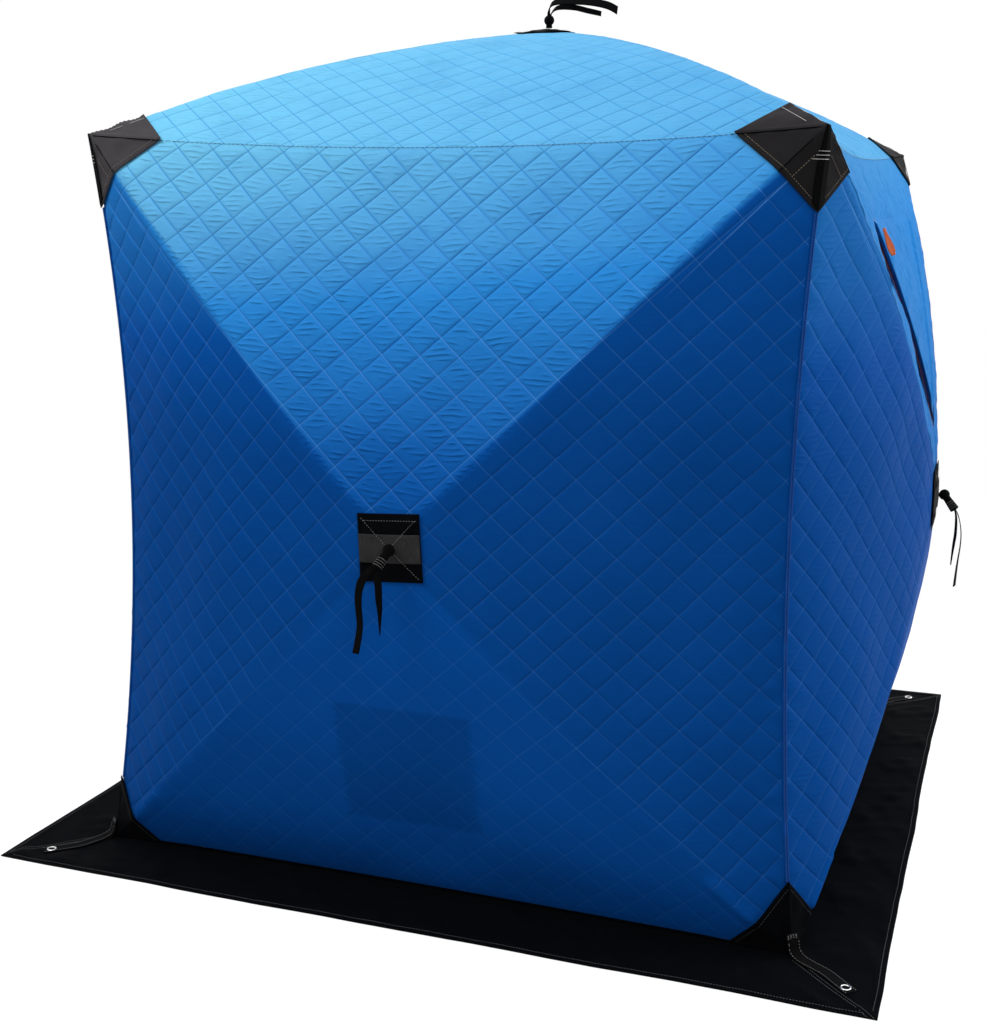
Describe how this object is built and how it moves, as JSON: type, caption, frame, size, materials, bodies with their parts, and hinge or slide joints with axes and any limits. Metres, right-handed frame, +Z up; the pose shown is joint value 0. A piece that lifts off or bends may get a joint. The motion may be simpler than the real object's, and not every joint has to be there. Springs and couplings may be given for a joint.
{
  "type": "ice fishing hut",
  "caption": "Pop-up insulated shelter for ice fishing: quilted cloth walls and roof pushed out by hubs and bowed poles, with a ground skirt and corner anchors.",
  "frame": {"origin": "middle of the hut on the ground", "axes": "+Z up, -Y out of the front wall, +X to the right of the front wall as seen from outside"},
  "size_m": [2.1998, 2.1998, 2.1248],
  "materials": {
    "quilted_cloth": "quilted, matt",
    "plain_cloth": "crinkled, matt",
    "binding": "matt",
    "zip_tape": "matt",
    "zip_pull": "matt",
    "skirt_cloth": "woven, soft sheen",
    "corner_cloth": "woven, matt",
    "foot_cloth": "woven, matt",
    "webbing": "ribbed",
    "patch_cloth": "woven, matt",
    "nickel": "bright plated",
    "hub_plastic": "moulded, matt",
    "glass_fibre": "smooth, satin"
  },
  "bodies": {
    "root": {"front_wall": "quilted_cloth", "right_wall": "quilted_cloth", "back_wall": "quilted_cloth", "left_wall": "quilted_cloth", "roof": "quilted_cloth", "door_panel": "quilted_cloth", "right_window_cover": "plain_cloth", "left_window_cover": "plain_cloth", "storage_pocket": "plain_cloth", "seam_bindings": "binding", "right_window_zip": "zip_tape", "left_window_zip": "zip_tape", "door_zip": "zip_tape", "zip_pulls": "zip_pull", "front_skirt": "skirt_cloth", "right_skirt": "skirt_cloth", "back_skirt": "skirt_cloth", "left_skirt": "skirt_cloth", "front_right_cap": "corner_cloth", "back_right_cap": "corner_cloth", "back_left_cap": "corner_cloth", "front_left_cap": "corner_cloth", "front_right_foot": "foot_cloth", "back_right_foot": "foot_cloth", "back_left_foot": "foot_cloth", "front_left_foot": "foot_cloth", "anchor_straps": "webbing", "front_pull": "webbing", "right_pull": "webbing", "back_pull": "webbing", "left_pull": "webbing", "roof_pull": "webbing", "front_patch": "patch_cloth", "right_patch": "patch_cloth", "back_patch": "patch_cloth", "left_patch": "patch_cloth", "roof_patch": "patch_cloth", "grommets": "nickel", "front_hub": "hub_plastic", "right_hub": "hub_plastic", "back_hub": "hub_plastic", "left_hub": "hub_plastic", "roof_hub": "hub_plastic", "wall_poles": "glass_fibre", "roof_poles": "glass_fibre"}
  },
  "joints": []
}
